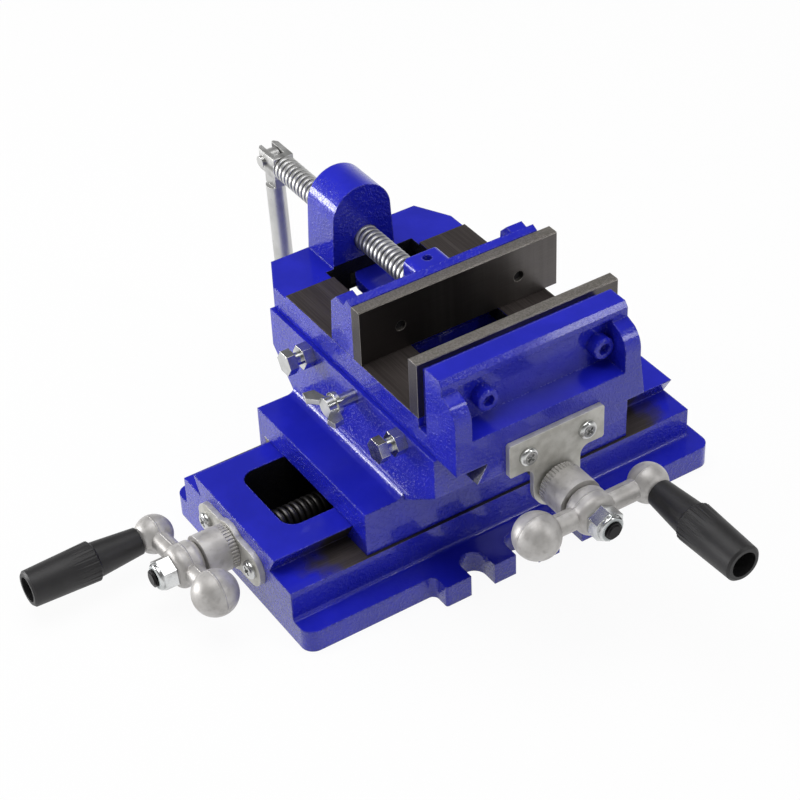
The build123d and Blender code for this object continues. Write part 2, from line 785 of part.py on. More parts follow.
# Swinging handle, built hanging straight down from the pin and then tilted
with BuildPart() as clamp_handle:
    with BuildSketch(Plane.YZ.offset(-handle_neck_w / 2)):
        Circle(handle_eye_d / 2)
        with Locations((0, -handle_neck_l / 2)):
            Rectangle(handle_d, handle_neck_l)
        Circle(fork_pin_d / 2 + running_gap, mode=Mode.SUBTRACT)
    extrude(amount=handle_neck_w)
    with BuildSketch(Plane.XY.offset(-handle_neck_l)):
        Circle(handle_d / 2)
    extrude(amount=handle_neck_l - handle_l)
    chamfer(clamp_handle.edges().group_by(Axis.Z)[0], length=1)
hang = Location((clamp_x, fork_pin_y, screw_z)) * Rotation(-handle_tilt, 0, 0)
save(hang * clamp_handle.part, "clamp_handle")

# Bracket plate of the base
with BuildPart() as x_bracket_plate:
    with BuildSketch(x_end):
        SlotOverall(x_bracket_l, 2 * x_bracket_end_r)
        Circle(x_bracket_hub_r)
        Circle(journal_d / 2 + running_gap, mode=Mode.SUBTRACT)
        with GridLocations(bracket_screw_spacing, 0, 2, 1):
            Circle(bracket_screw_d / 2 + running_gap, mode=Mode.SUBTRACT)
    extrude(amount=bracket_t)
save(x_bracket_plate.part, "x_bracket_plate")

# Bracket plate of the vise body
with BuildPart() as y_bracket_plate:
    head_top = y_bracket_top - y_screw_z
    head_low = head_top - y_bracket_head_h
    with BuildSketch(y_end):
        with Locations((0, head_top - y_bracket_head_h / 2)):
            Rectangle(y_bracket_w, y_bracket_head_h)
        with Locations((0, head_low / 2)):
            Rectangle(2 * y_bracket_stem_r, head_low)
        Circle(y_bracket_stem_r)
    extrude(amount=bracket_t)
    stem_roots = y_bracket_plate.edges().filter_by(Axis.Y).filter_by(
        lambda e: abs(e.center().Z - y_screw_z - head_low) < 0.01
        and abs(abs(e.center().X - y_screw_x) - y_bracket_stem_r) < 0.01
    )
    fillet(stem_roots, radius=y_bracket_root_r)
    plate_corners = y_bracket_plate.edges().filter_by(Axis.Y).filter_by(
        lambda e: abs(abs(e.center().X - y_screw_x) - y_bracket_w / 2) < 0.01
    )
    fillet(plate_corners, radius=cast_r)
    with BuildSketch(y_end):
        Circle(journal_d / 2 + running_gap)
        with Locations((0, y_bracket_screw_z - y_screw_z)):
            with GridLocations(y_bracket_screw_spacing, 0, 2, 1):
                Circle(bracket_screw_d / 2 + running_gap)
    extrude(amount=bracket_t, mode=Mode.SUBTRACT)
save(y_bracket_plate.part, "y_bracket_plate")

# Bracket screw with a rounded head and a cross recess, head seat at Z 0
with BuildPart() as bracket_screw:
    with BuildSketch():
        Circle(bracket_screw_head_d / 2)
    extrude(amount=bracket_screw_head_h)
    fillet(bracket_screw.edges().group_by(Axis.Z)[-1], radius=bracket_screw_head_h * 0.7)
    with BuildSketch(Plane.XY.offset(bracket_screw_head_h)):
        Rectangle(bracket_screw_head_d * 0.5, bracket_screw_head_d * 0.14)
        Rectangle(bracket_screw_head_d * 0.14, bracket_screw_head_d * 0.5)
    extrude(amount=-bracket_screw_head_h * 0.6, mode=Mode.SUBTRACT)
    with BuildSketch():
        Circle(bracket_screw_d / 2)
    extrude(amount=-(bracket_screw_l - 1))
turn = Rotation(0, 0, 45)
x_row = [Location((s * bracket_screw_spacing / 2, 0, bracket_t)) for s in (-1, 1)]
y_row = [
    Location((s * y_bracket_screw_spacing / 2, y_bracket_screw_z - y_screw_z, bracket_t)) for s in (-1, 1)
]
save(Compound(children=[x_end.location * spot * turn * bracket_screw.part for spot in x_row]), "x_bracket_screws")
save(Compound(children=[y_end.location * spot * turn * bracket_screw.part for spot in y_row]), "y_bracket_screws")

# Dial, built along Z from the bracket plate's outer face
dial_start = bracket_t + slide_gap
crank_start = dial_start + dial_l
crank_mid = crank_start + hub_t / 2
with BuildPart() as dial:
    with BuildSketch(Plane.XY.offset(dial_start)):
        Circle(dial_d / 2)
        Circle(spindle_d / 2 + running_gap, mode=Mode.SUBTRACT)
    extrude(amount=dial_l)
    with BuildSketch(Plane.XY.offset(dial_start)):
        with PolarLocations(dial_d / 2, dial_ticks):
            Rectangle(2 * dial_tick_depth, dial_tick_w)
    extrude(amount=dial_tick_l, mode=Mode.SUBTRACT)

# Crank with a ball at -X and the grip's boss at +X
with BuildPart() as crank:
    with BuildSketch(Plane.XY.offset(crank_start)):
        Circle(hub_d / 2)
    extrude(amount=hub_t)
    fillet(crank.edges().filter_by(GeomType.CIRCLE), radius=hub_round)
    with BuildSketch(Plane.YZ.offset(-ball_reach)):
        with Locations((0, crank_mid)):
            Circle(arm_d / 2)
    extrude(amount=ball_reach + boss_reach)
    with Locations((-ball_reach, 0, crank_mid)):
        Sphere(ball_d / 2)
    with Locations((boss_reach, 0, crank_mid)):
        Sphere(boss_d / 2)
    with BuildSketch(Plane.XY.offset(crank_mid + boss_seat)):
        with Locations((boss_reach, 0)):
            Circle(boss_d / 2)
    extrude(amount=boss_d, mode=Mode.SUBTRACT)
    with BuildSketch(Plane.XY.offset(crank_mid + boss_seat)):
        with Locations((boss_reach, 0)):
            Circle(stud_d / 2 + running_gap)
    extrude(amount=-stud_depth, mode=Mode.SUBTRACT)
    with BuildSketch(Plane.XY.offset(crank_start)):
        Circle(spindle_d / 2 + running_gap)
    extrude(amount=hub_t, mode=Mode.SUBTRACT)

# Lock nut with its nylon ring
nut_start = crank_start + hub_t
with BuildPart() as lock_nut:
    with BuildSketch(Plane.XY.offset(nut_start)):
        RegularPolygon(lock_nut_w / 2, 6, major_radius=False, rotation=30)
    extrude(amount=lock_nut_h)
    with BuildSketch(Plane.XY.offset(nut_start + lock_nut_h)):
        Circle(lock_nut_w * 0.46)
    extrude(amount=lock_nut_crown_h)
    fillet(lock_nut.edges().group_by(Axis.Z)[-1], radius=lock_nut_crown_h * 0.6)
    with BuildSketch(Plane.XY.offset(nut_start)):
        Circle(spindle_d / 2 + running_gap)
    extrude(amount=lock_nut_h + lock_nut_crown_h, mode=Mode.SUBTRACT)

# Stud that the grip turns on
grip_start = crank_mid + boss_seat + grip_gap
grip_end = grip_start + grip_l
hole_floor = grip_end - grip_hole_depth
with BuildPart() as grip_bolt:
    with BuildSketch(Plane.XY.offset(crank_mid + boss_seat - stud_depth + slide_gap)):
        with Locations((boss_reach, 0)):
            Circle(stud_d / 2)
    extrude(amount=hole_floor + slide_gap - (crank_mid + boss_seat - stud_depth + slide_gap))
    with BuildSketch(Plane.XY.offset(hole_floor + slide_gap)):
        with Locations((boss_reach, 0)):
            Circle(stud_head_d / 2)
    extrude(amount=stud_head_h)
    with BuildSketch(Plane.XY.offset(hole_floor + slide_gap + stud_head_h)):
        with Locations((boss_reach, 0)):
            Rectangle(stud_head_d, stud_slot_w)
    extrude(amount=-stud_head_h / 2, mode=Mode.SUBTRACT)

# Fluted grip
with BuildPart() as grip:
    with BuildSketch(Plane.XZ):
        with BuildLine():
            Polyline(
                (stud_d / 2 + running_gap, grip_start),
                (grip_neck_d / 2, grip_start),
                (grip_waist_d / 2, grip_start + grip_taper_l),
                (grip_d / 2, grip_start + grip_taper_l + 1),
                (grip_end_d / 2, grip_end - 1),
                (grip_end_d / 2 - 1, grip_end),
                (grip_hole_d / 2, grip_end),
                (grip_hole_d / 2, hole_floor),
                (stud_d / 2 + running_gap, hole_floor),
                close=True,
            )
        make_face()
    revolve(axis=Axis.Z)
    with BuildSketch(Plane.XY.offset(grip_start + grip_taper_l)):
        with PolarLocations(grip_d / 2 + grip_flute_d / 4, grip_flutes):
            Circle(grip_flute_d / 2)
    extrude(amount=grip_l - grip_taper_l - grip_flute_end, mode=Mode.SUBTRACT)

# Lead screws, built along Z from the casting's end face
spindle_end = nut_start + lock_nut_h + lock_nut_crown_h + spindle_tail
with BuildPart() as x_lead_screw:
    with BuildSketch(Plane.XZ):
        with BuildLine():
            Polyline(
                (0, -x_screw_l),
                (lead_d / 2, -x_screw_l),
                (lead_d / 2, -slide_gap - collar_t),
                (collar_d / 2, -slide_gap - collar_t),
                (collar_d / 2, -slide_gap),
                (journal_d / 2, -slide_gap),
                (journal_d / 2, dial_start),
                (spindle_d / 2, dial_start),
                (spindle_d / 2, spindle_end),
                (0, spindle_end),
                close=True,
            )
        make_face()
    revolve(axis=Axis.Z)
with BuildPart() as y_lead_screw:
    with BuildSketch(Plane.XZ):
        with BuildLine():
            Polyline(
                (0, -y_screw_l),
                (lead_d / 2, -y_screw_l),
                (lead_d / 2, -slide_gap - collar_t),
                (collar_d / 2, -slide_gap - collar_t),
                (collar_d / 2, -slide_gap),
                (journal_d / 2, -slide_gap),
                (journal_d / 2, dial_start + y_dial_gap),
                (spindle_d / 2, dial_start + y_dial_gap),
                (spindle_d / 2, spindle_end + y_dial_gap),
                (0, spindle_end + y_dial_gap),
                close=True,
            )
        make_face()
    revolve(axis=Axis.Z)

# The same set of handle pieces on both lead screws
x_turned = x_end.location * Rotation(0, 0, 180 + x_crank_tilt)
y_turned = y_end.location * Location((0, 0, y_dial_gap))
grip_spot = Location((boss_reach, 0, 0))
save(x_turned * x_lead_screw.part, "x_lead_screw")
save(x_turned * dial.part, "x_dial")
save(x_turned * crank.part, "x_crank")
save(x_turned * lock_nut.part, "x_lock_nut")
save(x_turned * grip_bolt.part, "x_grip_bolt")
save(x_turned * grip_spot * grip.part, "x_grip")
save(y_end.location * y_lead_screw.part, "y_lead_screw")
save(y_turned * dial.part, "y_dial")
save(y_turned * crank.part, "y_crank")
save(y_turned * lock_nut.part, "y_lock_nut")
save(y_turned * grip_bolt.part, "y_grip_bolt")
save(y_turned * grip_spot * grip.part, "y_grip")

# Feed nut under the saddle, and the one in the saddle's trough
with BuildPart() as x_feed_nut:
    with BuildSketch(Plane.YZ.offset(saddle_x - x_nut_l / 2)):
        with Locations((0, (groove_top + x_screw_z - x_nut_drop) / 2)):
            Rectangle(x_nut_w, groove_top - x_screw_z + x_nut_drop)
        with Locations((0, x_screw_z)):
            Circle(lead_d / 2 + running_gap, mode=Mode.SUBTRACT)
    extrude(amount=x_nut_l)
save(x_feed_nut.part, "x_feed_nut")
with BuildPart() as y_feed_nut:
    with BuildSketch(Plane.XZ.offset(-y_nut_y - y_nut_l / 2)):
        with Locations((y_screw_x, trough_bottom + y_nut_h / 2)):
            Rectangle(trough_w - 2 * slide_gap, y_nut_h)
        with Locations((y_screw_x, y_screw_z)):
            Circle(lead_d / 2 + running_gap, mode=Mode.SUBTRACT)
    extrude(amount=y_nut_l)
save(y_feed_nut.part, "y_feed_nut")

# Gib strips
with BuildPart() as y_gib:
    gib_top_x = saddle_x - y_way_top_w / 2 - slide_gap
    gib_high = block_top - slide_gap
    gib_low = channel_floor + slide_gap
    with BuildSketch(Plane.XZ.offset(-block_rear)):
        with BuildLine():
            Polyline(
                (gib_top_x - (body_bottom - gib_high) * way_run, gib_high),
                (gib_top_x - (body_bottom - gib_low) * way_run, gib_low),
                (gib_top_x - gib_t - (body_bottom - gib_low) * way_run, gib_low),
                (gib_top_x - gib_t - (body_bottom - gib_high) * way_run, gib_high),
                close=True,
            )
        make_face()
    extrude(amount=block_l)
save(y_gib.part, "y_gib")
with BuildPart() as x_gib:
    x_gib_low = shelf_h + ease_gap
    x_gib_high = groove_top - slide_gap
    x_gib_in = x_way_y + x_way_root_w / 2 + slide_gap
    with BuildSketch(Plane.YZ.offset(saddle_x - wing_l / 2)):
        with BuildLine():
            Polyline(
                (x_gib_in + (x_gib_low - shelf_h) * way_run, x_gib_low),
                (x_gib_in + (x_gib_high - shelf_h) * way_run, x_gib_high),
                (x_gib_in + gib_t + (x_gib_high - shelf_h) * way_run, x_gib_high),
                (x_gib_in + gib_t + (x_gib_low - shelf_h) * way_run, x_gib_low),
                close=True,
            )
        make_face()
    extrude(amount=wing_l)
save(x_gib.part, "x_gib")

# Gib bolts and their lock nuts: Z 0 is the casting's side, the shank runs in to the gib
with BuildPart() as gib_nut:
    with BuildSketch():
        RegularPolygon(gib_bolt_head_w / 2, 6, major_radius=False)
        Circle(gib_bolt_d / 2 + running_gap, mode=Mode.SUBTRACT)
    extrude(amount=gib_nut_h)
with BuildPart() as gib_head:
    with BuildSketch(Plane.XY.offset(gib_bolt_reach - gib_bolt_head_h)):
        RegularPolygon(gib_bolt_head_w / 2, 6, major_radius=False)
    extrude(amount=gib_bolt_head_h)
bolt_low = gib_bolt_z - gib_bolt_d / 2
y_bolt_in = gib_top_x - gib_t - (body_bottom - bolt_low) * way_run - slide_gap - block_left
with BuildPart() as y_gib_bolt:
    add(gib_head.part)
    with BuildSketch(Plane.XY.offset(gib_bolt_reach - gib_bolt_head_h)):
        Circle(gib_bolt_d / 2)
    extrude(amount=-(gib_bolt_reach - gib_bolt_head_h) - y_bolt_in)
x_bolt_in = wing_rear - x_gib_in - gib_t - (x_bolt_z + gib_bolt_d / 2 - shelf_h) * way_run - slide_gap
with BuildPart() as x_gib_bolt:
    add(gib_head.part)
    with BuildSketch(Plane.XY.offset(gib_bolt_reach - gib_bolt_head_h)):
        Circle(gib_bolt_d / 2)
    extrude(amount=-(gib_bolt_reach - gib_bolt_head_h) - x_bolt_in)
left_side = Plane(origin=(block_left, gib_bolt_y, gib_bolt_z), x_dir=(0, -1, 0), z_dir=(-1, 0, 0)).location
rear_side = Plane(origin=(saddle_x, wing_rear, x_bolt_z), x_dir=(-1, 0, 0), z_dir=(0, 1, 0)).location
y_bolt_row = [left_side * Location((s * gib_bolt_spacing / 2, 0, 0)) for s in (-1, 1)]
x_bolt_row = [rear_side * Location((s * x_gib_bolt_spacing / 2, 0, 0)) for s in (-1, 1)]
save(Compound(children=[spot * y_gib_bolt.part for spot in y_bolt_row]), "y_gib_bolts")
save(Compound(children=[spot * gib_nut.part for spot in y_bolt_row]), "y_gib_lock_nuts")
save(Compound(children=[spot * x_gib_bolt.part for spot in x_bolt_row]), "x_gib_bolts")
save(Compound(children=[spot * gib_nut.part for spot in x_bolt_row]), "x_gib_lock_nuts")

# Wing bolt between the two gib bolts
with BuildPart() as wing_bolt:
    with BuildSketch(Plane.XY.offset(-y_bolt_in)):
        Circle(gib_bolt_d / 2)
    extrude(amount=y_bolt_in + wing_reach - wing_collar_t)
    with BuildSketch(Plane.XY.offset(wing_reach - wing_collar_t)):
        Circle(wing_collar_d / 2)
    extrude(amount=wing_collar_t)
    with BuildSketch(Plane.XY.offset(wing_reach)):
        Circle(wing_hub_d / 2)
    extrude(amount=wing_hub_h)
    with BuildSketch(Plane.XZ.offset(-wing_t / 2)):
        with BuildLine():
            Polyline(
                (0, wing_reach),
                (wing_hub_d / 2, wing_reach),
                (wing_span / 2 - 1, wing_reach + wing_hub_h * 0.5),
                (wing_span / 2, wing_reach + wing_h - 1),
                (wing_span / 2 - wing_tip, wing_reach + wing_h),
                (wing_hub_d / 2, wing_reach + wing_hub_h),
                (0, wing_reach + wing_hub_h),
                close=True,
            )
        make_face()
        mirror(about=Plane.YZ)
    extrude(amount=wing_t)
save(left_side * Rotation(0, 0, wing_turn) * wing_bolt.part, "wing_bolt")
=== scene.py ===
# %% [markdown]
# # A cross-slide vise for a drill press
# The vise is three iron castings stacked on dovetail ways. The base bolts to the drill press table, the
# saddle slides along it, and the vise body slides across the saddle. Two lead screws with cranks move the
# slides, and a third screw closes the jaw. The CAD model already holds every solid in its true place, so
# this file gives each one its finish, cuts the threads that the solids leave plain, and lights the scene.

import math

import bmesh
import bpy
from mathutils import Matrix, Vector


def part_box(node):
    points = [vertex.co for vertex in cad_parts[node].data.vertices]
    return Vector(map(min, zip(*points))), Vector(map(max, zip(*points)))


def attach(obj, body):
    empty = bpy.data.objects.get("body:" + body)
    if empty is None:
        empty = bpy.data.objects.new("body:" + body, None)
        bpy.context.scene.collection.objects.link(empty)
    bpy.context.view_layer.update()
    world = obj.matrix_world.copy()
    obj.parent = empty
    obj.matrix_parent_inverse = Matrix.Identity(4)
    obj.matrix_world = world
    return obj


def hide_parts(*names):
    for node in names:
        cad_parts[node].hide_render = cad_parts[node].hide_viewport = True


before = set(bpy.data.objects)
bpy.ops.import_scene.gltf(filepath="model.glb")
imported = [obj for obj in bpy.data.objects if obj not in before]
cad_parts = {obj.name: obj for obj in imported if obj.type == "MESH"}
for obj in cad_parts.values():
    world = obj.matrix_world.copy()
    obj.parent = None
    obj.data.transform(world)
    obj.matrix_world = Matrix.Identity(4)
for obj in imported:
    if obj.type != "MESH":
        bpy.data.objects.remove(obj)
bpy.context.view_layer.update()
MM = 0.001
MM_PER_METRE = 1000
WHITE = (1, 1, 1, 1)
print("nodes loaded:", len(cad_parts))

# %% Places that several pieces share, in mm
# A screw's axis is named by the two coordinates that stay the same along it.
X_SCREW_AXIS = (0, 20)  # Y and Z
Y_SCREW_AXIS = (2.1, 61.5)  # X and Z
CLAMP_SCREW_AXIS = (0.5, 106)  # X and Z
X_PLATE_FACE = -105.5  # where the X screw's collar meets its bracket plate
Y_PLATE_FACE = -84
SCREW_RADIUS = 6.0
SCREW_PITCH = 3.0

# %% [markdown]
# ## The camera
# A camera is a place, a direction and a lens. The straight edges of the vise in the picture fix all
# three, because edges that are parallel on the real thing meet at one point in the picture. Writing the
# matrix column by column keeps the small roll, which a Track To constraint would lose.

# %% Camera
azimuth, elevation, roll = (math.radians(angle) for angle in (-31.53, 38.44, -2.66))
camera_place = Vector((-418.78, -652.03, 664.75)) * MM
backwards = Vector((
    math.sin(azimuth) * math.cos(elevation),
    -math.cos(azimuth) * math.cos(elevation),
    math.sin(elevation),
))
level_right = Vector((math.cos(azimuth), math.sin(azimuth), 0))
level_up = backwards.cross(level_right)
right = level_right * math.cos(roll) + level_up * math.sin(roll)
up = level_up * math.cos(roll) - level_right * math.sin(roll)
lens = bpy.data.cameras.new("camera")
lens.sensor_fit = "HORIZONTAL"
lens.sensor_width = 36
lens.lens = 101.07
lens.clip_start = 0.01
camera = bpy.data.objects.new("camera", lens)
bpy.context.scene.collection.objects.link(camera)
camera_turn = Matrix((right, up, backwards)).transposed().to_4x4()
camera.matrix_world = Matrix.Translation(camera_place) @ camera_turn
bpy.context.scene.camera = camera
bpy.context.scene.view_settings.view_transform = "Standard"
print("camera is", round(camera.location.length, 3), "m from the origin")

# %% [markdown]
# ## Sums on surfaces
# A finish changes from place to place: paint is thin on an edge, a milled face starts at a certain
# height. Blender writes such sums as nodes and links. One small class that wraps a socket and overloads
# plus, minus and times lets us write them as ordinary Python, which is far easier to read and change.


# %% A socket that can be used in sums
class Field:
    """A number or colour that changes over a surface."""

    def __init__(self, tree, socket=None):
        self.tree = tree
        self.socket = socket

    def node(self, kind, settings={}, inputs={}, out=0):
        """Adds a node, sets it, fills or links its inputs, and gives one of its outputs."""
        made = self.tree.nodes.new(kind)
        for name, value in settings.items():
            setattr(made, name, value)
        for key, value in inputs.items():
            if isinstance(value, Field):
                self.tree.links.new(value.socket, made.inputs[key])
            else:
                made.inputs[key].default_value = value
        return Field(self.tree, made.outputs[out] if made.outputs else None)

    def maths(self, operation, *others):
        return self.node("ShaderNodeMath", {"operation": operation}, dict(enumerate((self,) + others)))

    def __add__(self, other):
        return self.maths("ADD", other)

    def __mul__(self, other):
        return self.maths("MULTIPLY", other)

    def __sub__(self, other):
        return self.maths("SUBTRACT", other)

    def __rsub__(self, other):
        return self.maths("MULTIPLY", -1.0).maths("ADD", other)

    __radd__ = __add__
    __rmul__ = __mul__

    def __gt__(self, level):
        return self.maths("GREATER_THAN", level)

    def __lt__(self, level):
        return self.maths("LESS_THAN", level)

    def size(self):
        return self.maths("ABSOLUTE")

    def part(self, axis):
        return self.node("ShaderNodeSeparateXYZ", {}, {0: self}, axis)

    def rise(self, low, high):
        """0 below low, 1 above high, smooth between."""
        spread = {"Value": self, "From Min": low, "From Max": high}
        return self.node("ShaderNodeMapRange", {"interpolation_type": "SMOOTHSTEP"}, spread)


# %% [markdown]
# ## Ingredients that every finish shares
# Object coordinates stay with a piece when it moves, so a grain or a pit never slides over its surface.
# Noise gives the uneven look of cast, plated and ground metal. The Bevel node rounds an edge in the
# shading alone, which is what a thick coat of paint or a tumbled casting does to a sharp corner, and the
# angle between the rounded and the true direction tells us how near an edge we are.


# %% Shared ingredients
class Surface:
    """The start of a finish: where we are on the piece, in mm, and which way it faces."""

    def __init__(self, name):
        self.material = bpy.data.materials.new(name)
        self.material.use_nodes = True
        self.material.node_tree.nodes.clear()
        self.start = Field(self.material.node_tree)
        self.place = self.start.node("ShaderNodeTexCoord", out="Object")
        self.x, self.y, self.z = (self.place.part(axis) * MM_PER_METRE for axis in range(3))
        self.facing = self.start.node("ShaderNodeNewGeometry", out="Normal")
        self.facing_up = self.facing.part(2)

    def noise(self, period_mm, detail, stretch=(1, 1, 1), shift=(0, 0, 0)):
        """Noise about one period wide; a stretch under 1 draws it out along that axis."""
        mapping = {"Vector": self.place, "Scale": stretch, "Location": shift}
        place = self.start.node("ShaderNodeMapping", {}, mapping)
        settings = {"Vector": place, "Scale": MM_PER_METRE / period_mm, "Detail": detail}
        return self.start.node("ShaderNodeTexNoise", {}, settings)

    def rounded(self, radius_mm):
        return self.start.node("ShaderNodeBevel", {"samples": 6}, {"Radius": radius_mm * MM})

    def near_edge(self, rounded, full):
        """0 on a flat, and 1 where the rounding has turned away from it by full."""
        ends = {0: rounded, 1: self.facing}
        same = self.start.node("ShaderNodeVectorMath", {"operation": "DOT_PRODUCT"}, ends, "Value")
        return (1 - same).rise(0.002, full)

    def from_axis(self, across, centre):
        """The distance in mm from a level axis, which centre names across it and in height."""
        sideways = getattr(self, across) - centre[0]
        upwards = self.z - centre[1]
        return (sideways * sideways + upwards * upwards).maths("SQRT")

    def bump(self, height, depth_mm, rounded):
        inputs = {"Height": height, "Distance": depth_mm * MM, "Normal": rounded}
        return self.start.node("ShaderNodeBump", {}, inputs)

    def blend(self, share, first, second):
        return self.start.node("ShaderNodeMix", {"data_type": "RGBA"}, {0: share, 6: first, 7: second}, 2)

    def finish(self, **sockets):
        inputs = {name.replace("_", " "): value for name, value in sockets.items()}
        shader = self.start.node("ShaderNodeBsdfPrincipled", {}, inputs)
        self.start.node("ShaderNodeOutputMaterial", {}, {"Surface": shader})
        return self.material


def give(material, slot, *nodes):
    """Puts a finish on CAD nodes or on new pieces; slot is not used."""
    for item in nodes:
        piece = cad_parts[item] if isinstance(item, str) else item
        piece.data.materials.clear()
        piece.data.materials.append(material)
    print(material.name, "on", len(nodes), "pieces")


# %% [markdown]
# ## Blue enamel on cast iron
# The castings leave a sand mould slightly rough, are brushed or dipped in a thick gloss enamel, and only
# then have their ways milled bright. So one finish holds it all: the enamel with its orange peel, rougher
# on the walls than on the levelled tops, bare milled iron where a way is cut, and a painted shade of dull
# black in the hollows, where little light reaches. Lighter specks along the edges are partly thinner paint
# and partly a painted highlight for the glints off the peel. Where the cutter went is plain geometry, a
# height and an upward face, so a mask made from Object coordinates finds it exactly. Only the ends of the
# base's ways are uneven, where paint is left.

# %% Colours and depth of the enamel
DEEP_BLUE = (0.010, 0.014, 0.40, 1)
BLUE = (0.014, 0.018, 0.48, 1)
# Lighter blue for specks along edges: partly thinner paint, partly a painted highlight.
THIN_PAINT_AND_GLINT_BLUE = (0.16, 0.16, 0.74, 1)
# Painted shade: the dull black laid into the hollows, where little light reaches.
PAINTED_SHADE_BLACK = (0.006, 0.006, 0.008, 1)
MILLED_DARK = (0.050, 0.041, 0.039, 1)
MILLED_LIGHT = (0.098, 0.084, 0.080, 1)
PEEL_DEPTH = 0.30
CLEAR_COAT = 0.45


# %% Enamel, with milled ways and painted shade in the hollows where masks say so
def enamel(name, milled=None, painted_shade_mask=None, grain=(1, 0, 0)):
    surface = Surface(name)
    rounded = surface.rounded(1.1)
    near_edge = surface.near_edge(rounded, 0.10)
    wall = surface.facing_up.size().rise(0.97, 0.75)
    peel = surface.noise(1.6, 2.0)
    patches = surface.noise(11, 2.0).rise(0.42, 0.58)
    beads = surface.noise(1.15, 1.0).rise(0.48, 0.66)
    grains = (wall * (0.55 + patches * 0.30) + near_edge).maths("MINIMUM", 1.0)
    height = peel * (0.30 + grains * 0.7) + grains * beads * 0.85
    tone = surface.noise(22, 3.0)
    paint = surface.blend(tone.rise(0.35, 0.68), DEEP_BLUE, BLUE)
    # Lighter specks on the beads near edges: partly thinner paint, partly a painted highlight for glints.
    paint = surface.blend(near_edge * beads * 0.5, paint, THIN_PAINT_AND_GLINT_BLUE)
    gloss = 0.18 + grains * 0.06
    lacquer = {"Specular_IOR_Level": 0.3, "Coat_Roughness": 0.08}
    if milled is None:
        normal = surface.bump(height, PEEL_DEPTH, rounded)
        return surface.finish(Base_Color=paint, Roughness=gloss, Coat_Weight=CLEAR_COAT, Normal=normal, **lacquer)
    shade = painted_shade_mask(surface)
    # Painted shade: the mask darkens the paint to black in the hollows, where shade falls.
    paint = surface.blend(shade, paint, PAINTED_SHADE_BLACK)
    bare = milled(surface)
    lines = surface.noise(0.5, 2.0, tuple(0.02 if along else 1 for along in grain))
    bands = surface.noise(5, 2.0, tuple(0.04 if along else 1 for along in grain))
    iron = surface.blend((lines * 0.6 + bands * 0.4).rise(0.30, 0.75), MILLED_DARK, MILLED_LIGHT)
    cut = lines * 0.12 + bands * 0.05
    return surface.finish(
        Base_Color=surface.blend(bare, paint, iron),
        Metallic=bare * 0.7,
        Roughness=gloss + bare * (0.46 - gloss) + shade * 0.35,
        Coat_Weight=CLEAR_COAT - (bare + shade).maths("MINIMUM", 1.0) * CLEAR_COAT,
        Normal=surface.bump(height * (1 - bare) + cut * bare, PEEL_DEPTH, rounded),
        **lacquer,
    )


# %% Masks for the milled ways and for the painted shade in the hollows, in mm
def inside(coordinate, middle, half):
    """1 within half of the middle."""
    return (coordinate - middle).size() < half


def level(surface, height):
    """1 on the upward faces at a height."""
    return inside(surface.z, height, 0.3) * (surface.facing_up > 0.9)


def milled_base(surface):
    shelf = level(surface, 26)
    flank = inside(surface.z, 30.5, 4.3) * (surface.y.size() > 26)
    worn = (surface.x.size() + surface.noise(18, 4.0) * 40).rise(114, 100)
    return shelf.maths("MAXIMUM", flank) * worn


def milled_body(surface):
    return level(surface, 97.2)


def milled_saddle(surface):
    return level(surface, 84.5) * inside(surface.x, 1.5, 45.5)


def base_shade_mask(surface):
    """Painted shade over the long window and the trough under it."""
    return inside(surface.x, 0, 90.4) * inside(surface.y, 0, 21.4) * (surface.z < 34.7)


def body_shade_mask(surface):
    """Painted shade over the slot, the tunnel under it, and the left flank of the tongue that slides in the
    saddle.
    """
    slot = inside(surface.x, 1.5, 22.6) * inside(surface.y, 3.0, 50.7) * (surface.z < 97.0)
    tunnel = inside(surface.x, 1.5, 28.2) * inside(surface.y, 14, 60.9) * (surface.z < 90.2)
    tongue = inside(surface.x, -38, 8) * (surface.z < 84.3) * (surface.y > -83.8) * 0.85
    return slot.maths("MAXIMUM", tunnel).maths("MAXIMUM", tongue)


def saddle_shade_mask(surface):
    """Painted shade over the trough that the Y screw runs in."""
    trough = inside(surface.x, 1.5, 45.6) * inside(surface.y, -6, 64.5)
    return trough * (surface.z > 50) * (surface.z < 84.3)


give(enamel("enamel_base", milled_base, base_shade_mask, (1, 0, 0)), "blue_paint", "base_casting")
give(enamel("enamel_body", milled_body, body_shade_mask, (0, 1, 0)), "blue_paint", "vise_body")
give(enamel("enamel_saddle", milled_saddle, saddle_shade_mask, (0, 1, 0)), "blue_paint", "saddle_casting")
give(enamel("enamel"), "blue_paint", "moving_jaw", "jaw_keeper", "fixed_jaw_screws")

# %% [markdown]
# ## Ground steel jaw plates
# Surface grinding draws the wheel along the plate, so the scratches run lengthwise and smear every
# reflection upright. The scratches are noise drawn out along the plate. A slow change of tone in upright
# bands along it is partly the passes of the wheel and partly a painted reflection of a bright band.
# The top face is paler than the front, with lighter specks on it.


